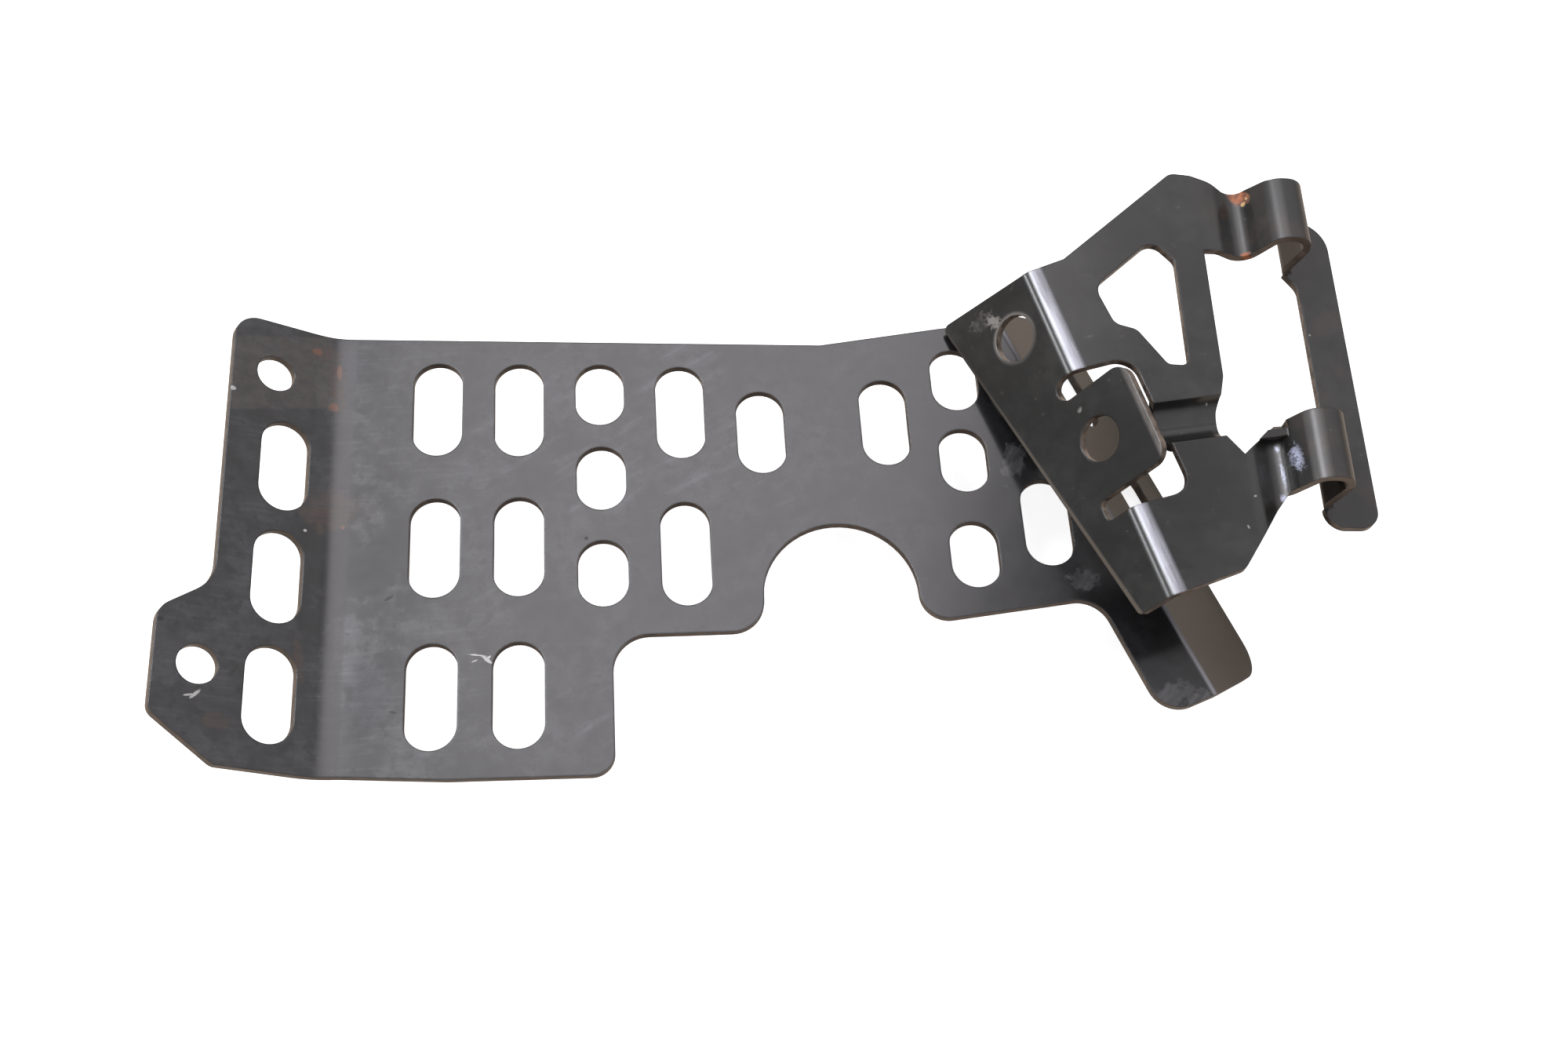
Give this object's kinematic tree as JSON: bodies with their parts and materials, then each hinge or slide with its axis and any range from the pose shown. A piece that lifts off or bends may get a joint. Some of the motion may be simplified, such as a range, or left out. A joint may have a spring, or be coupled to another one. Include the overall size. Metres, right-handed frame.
{
  "type": "stamped metal bracket",
  "caption": "Slotted stamped steel guard plate with a bent-up mounting wing, a folded-down edge and a hook bracket on its corner, in worn black paint",
  "frame": {"origin": "on the guard plate's underside, at mid length of the flat plate, level with the middle row of slots", "axes": "X from the mounting wing to the hooks, Y along the slots towards the hook bracket's corner, Z out of the plate's upper face"},
  "size_m": [0.2164, 0.1103, 0.0436],
  "materials": {
    "plate_paint": "worn semi-gloss black paint over rolled steel sheet",
    "bracket_paint": "worn satin black paint over rolled steel sheet, rust in the upper hook",
    "weld_paint": "black paint over a small weld"
  },
  "bodies": {
    "root": {"guard_plate": "plate_paint", "hook_bracket": "bracket_paint", "corner_tack": "weld_paint"}
  },
  "joints": []
}
